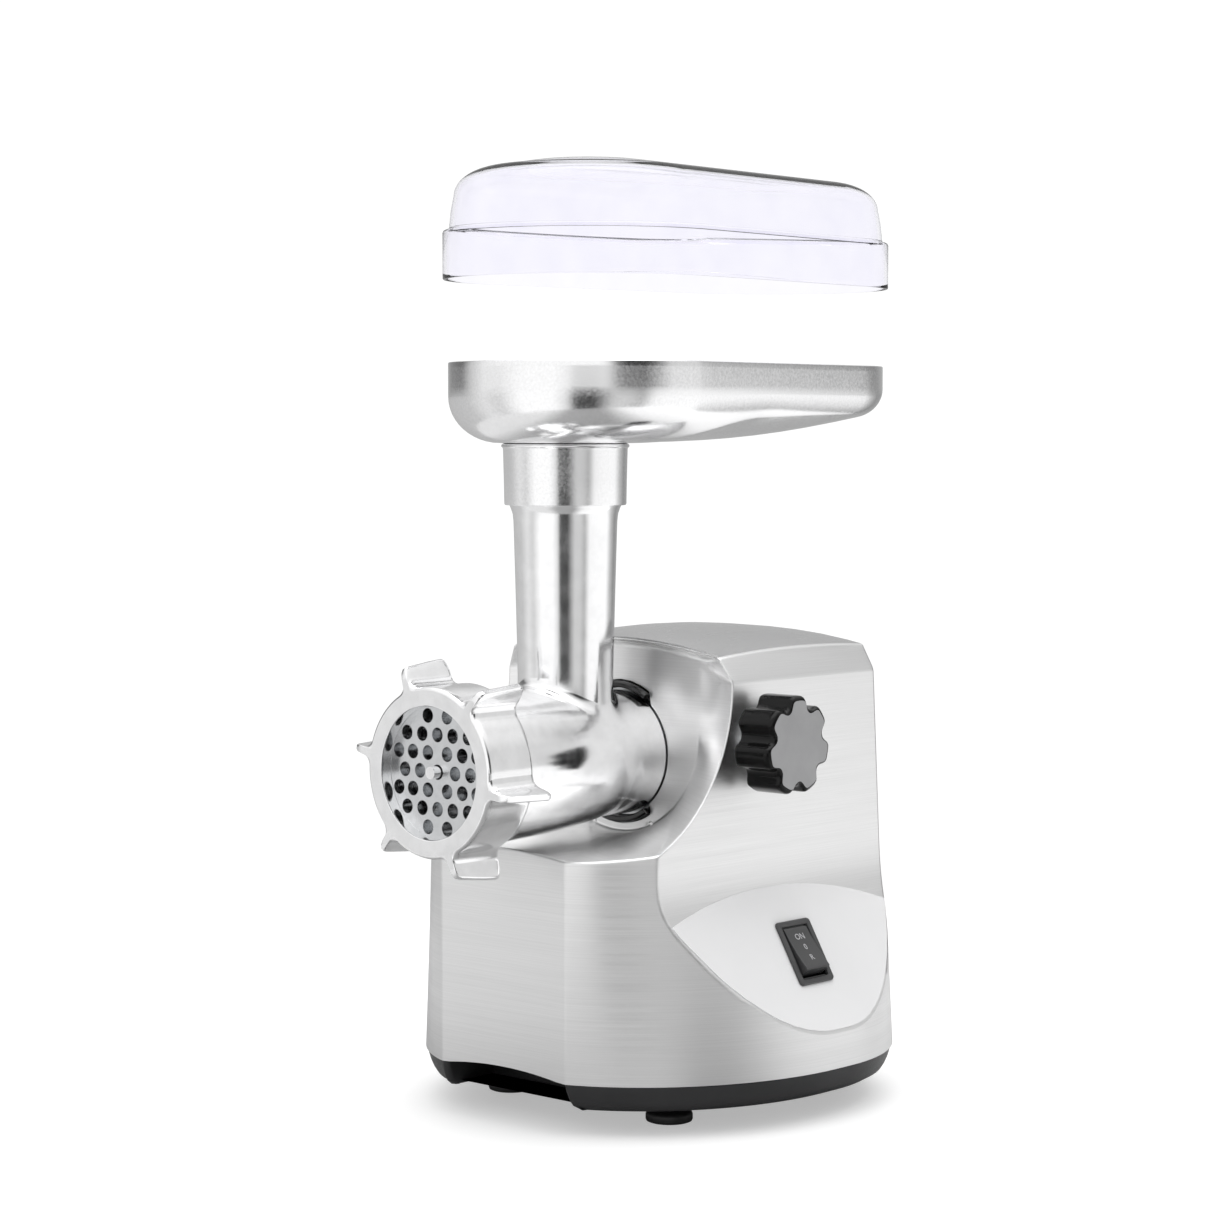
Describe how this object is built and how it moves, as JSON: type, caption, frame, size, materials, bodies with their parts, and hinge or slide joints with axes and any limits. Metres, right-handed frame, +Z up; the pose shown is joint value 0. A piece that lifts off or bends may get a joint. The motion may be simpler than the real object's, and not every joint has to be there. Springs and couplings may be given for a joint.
{
  "type": "electric meat grinder",
  "caption": "Countertop electric meat grinder: brushed casing on a black base, screw-on grinding head, hopper tray with clear lid, clamp knob and rocker switch.",
  "frame": {"origin": "centre of the bounding box on the surface it stands on", "axes": "-Y out of the grinding head's outlet, +X the switch and knob side, +Z up the feed tube"},
  "size_m": [0.232, 0.3196, 0.4743],
  "materials": {
    "brushed_casing": "fine horizontal brushing, satin",
    "vent_panel": "fine satin moulded plastic",
    "label_panel": "smooth satin light grey",
    "black_base": "satin moulded plastic",
    "plain_steel": "turned, satin",
    "rubber_feet": "matte rubber",
    "black_gloss": "glossy moulded plastic",
    "cast_aluminium": "polished casting with soft cast grain",
    "spun_aluminium": "polished pressing",
    "tool_steel": "ground",
    "bronze": "machined",
    "clear_plastic": "clear with a faint lavender tint",
    "knob_black": "satin gloss moulding",
    "rocker_black": "satin moulding",
    "inner_casting": "as cast",
    "laminations": "stacked laminations",
    "copper": "enamelled winding",
    "ivory_plastic": "moulded nylon"
  },
  "bodies": {
    "root": {"casing": "brushed_casing", "rear_panel": "vent_panel", "side_panel": "label_panel", "base": "black_base", "base_screws": "plain_steel", "feet": "rubber_feet", "foot_screws": "plain_steel", "socket": "plain_steel", "bayonet_ring": "black_gloss", "clamp_bush": "plain_steel", "switch_frame": "black_gloss", "switch_body": "black_gloss", "rocker_pin": "plain_steel", "gearbox_front": "inner_casting", "gearbox_back": "inner_casting", "gearbox_screws": "plain_steel", "output_bushes": "bronze", "arbor_bushes": "bronze", "motor_stator": "laminations", "motor_coils": "copper", "motor_bearings": "plain_steel", "motor_bracket": "inner_casting", "brush_holders": "bronze", "carbon_brushes": "black_gloss", "motor_bolts": "plain_steel", "terminal_block": "ivory_plastic", "cable_inlet": "rubber_feet"},
    "head_unit": {"head": "cast_aluminium", "auger_washer": "bronze", "plate_key": "plain_steel"},
    "auger_unit": {"auger": "cast_aluminium", "knife": "tool_steel"},
    "plate_unit": {"hole_plate": "tool_steel"},
    "nut_unit": {"ring_nut": "cast_aluminium"},
    "tray_unit": {"tray": "spun_aluminium", "tray_collar": "spun_aluminium"},
    "lid_unit": {"lid": "clear_plastic"},
    "pad_unit": {"clamp_pad": "bronze"},
    "knob_unit": {"clamp_screw": "plain_steel", "knob": "knob_black"},
    "rocker_unit": {"rocker": "rocker_black"},
    "rotor_unit": {"rotor": "laminations", "rotor_windings": "copper", "commutator": "copper", "fan": "black_gloss", "motor_pinion": "tool_steel"},
    "first_unit": {"first_gear": "bronze"},
    "second_unit": {"second_gear": "tool_steel"},
    "output_unit": {"output_gear": "tool_steel", "drive_shaft": "plain_steel"}
  },
  "joints": [
    {"name": "motor_spin", "type": "hinge", "parent": "root", "child": "rotor_unit", "pos_m": [-0.00978, 0.0142, 0.07976], "axis": [0, 1, 0], "continuous": true},
    {"name": "first_gear_spin", "type": "hinge", "parent": "root", "child": "first_unit", "pos_m": [0.00048, 0.0452, 0.10795], "axis": [0, 1, 0], "continuous": true},
    {"name": "second_gear_spin", "type": "hinge", "parent": "root", "child": "second_unit", "pos_m": [-0.02363, 0.0452, 0.13668], "axis": [0, 1, 0], "continuous": true},
    {"name": "output_spin", "type": "hinge", "parent": "root", "child": "output_unit", "pos_m": [0, 0.0402, 0.1776], "axis": [0, 1, 0], "continuous": true},
    {"name": "head_slide", "type": "slide", "parent": "root", "child": "head_unit", "axis": [0, -1, 0], "range_m": [0, 0.06]},
    {"name": "auger_spin", "type": "hinge", "parent": "head_unit", "child": "auger_unit", "pos_m": [0, -0.0298, 0.1776], "axis": [0, 1, 0], "continuous": true},
    {"name": "plate_slide", "type": "slide", "parent": "head_unit", "child": "plate_unit", "axis": [0, -1, 0], "range_m": [0, 0.012]},
    {"name": "nut_turn", "type": "hinge", "parent": "plate_unit", "child": "nut_unit", "pos_m": [0, -0.1448, 0.1776], "axis": [0, -1, 0], "range_deg": [0, 1080]},
    {"name": "tray_lift", "type": "slide", "parent": "head_unit", "child": "tray_unit", "axis": [0, 0, 1], "range_m": [0, 0.06]},
    {"name": "lid_lift", "type": "slide", "parent": "tray_unit", "child": "lid_unit", "axis": [0, 0, 1], "range_m": [-0.063, 0.027]},
    {"name": "clamp_slide", "type": "slide", "parent": "root", "child": "pad_unit", "axis": [1, 0, 0], "range_m": [0, 0.003]},
    {"name": "knob_turn", "type": "hinge", "parent": "pad_unit", "child": "knob_unit", "pos_m": [0.084, -0.0098, 0.1866], "axis": [1, 0, 0], "range_deg": [0, 720]},
    {"name": "rocker_tilt", "type": "hinge", "parent": "root", "child": "rocker_unit", "pos_m": [0.09057, 0.0092, 0.07948], "axis": [0, 1, 0], "range_deg": [0, 16]}
  ],
  "couplings": [
    {"joint": "first_gear_spin", "follows": "motor_spin", "ratio": -0.2},
    {"joint": "second_gear_spin", "follows": "motor_spin", "ratio": 0.05},
    {"joint": "output_spin", "follows": "motor_spin", "ratio": -0.014286},
    {"joint": "auger_spin", "follows": "motor_spin", "ratio": -0.014286},
    {"joint": "plate_slide", "follows": "nut_turn", "m_per_rad": 0.00063662},
    {"joint": "clamp_slide", "follows": "knob_turn", "m_per_rad": 0.00023873}
  ]
}
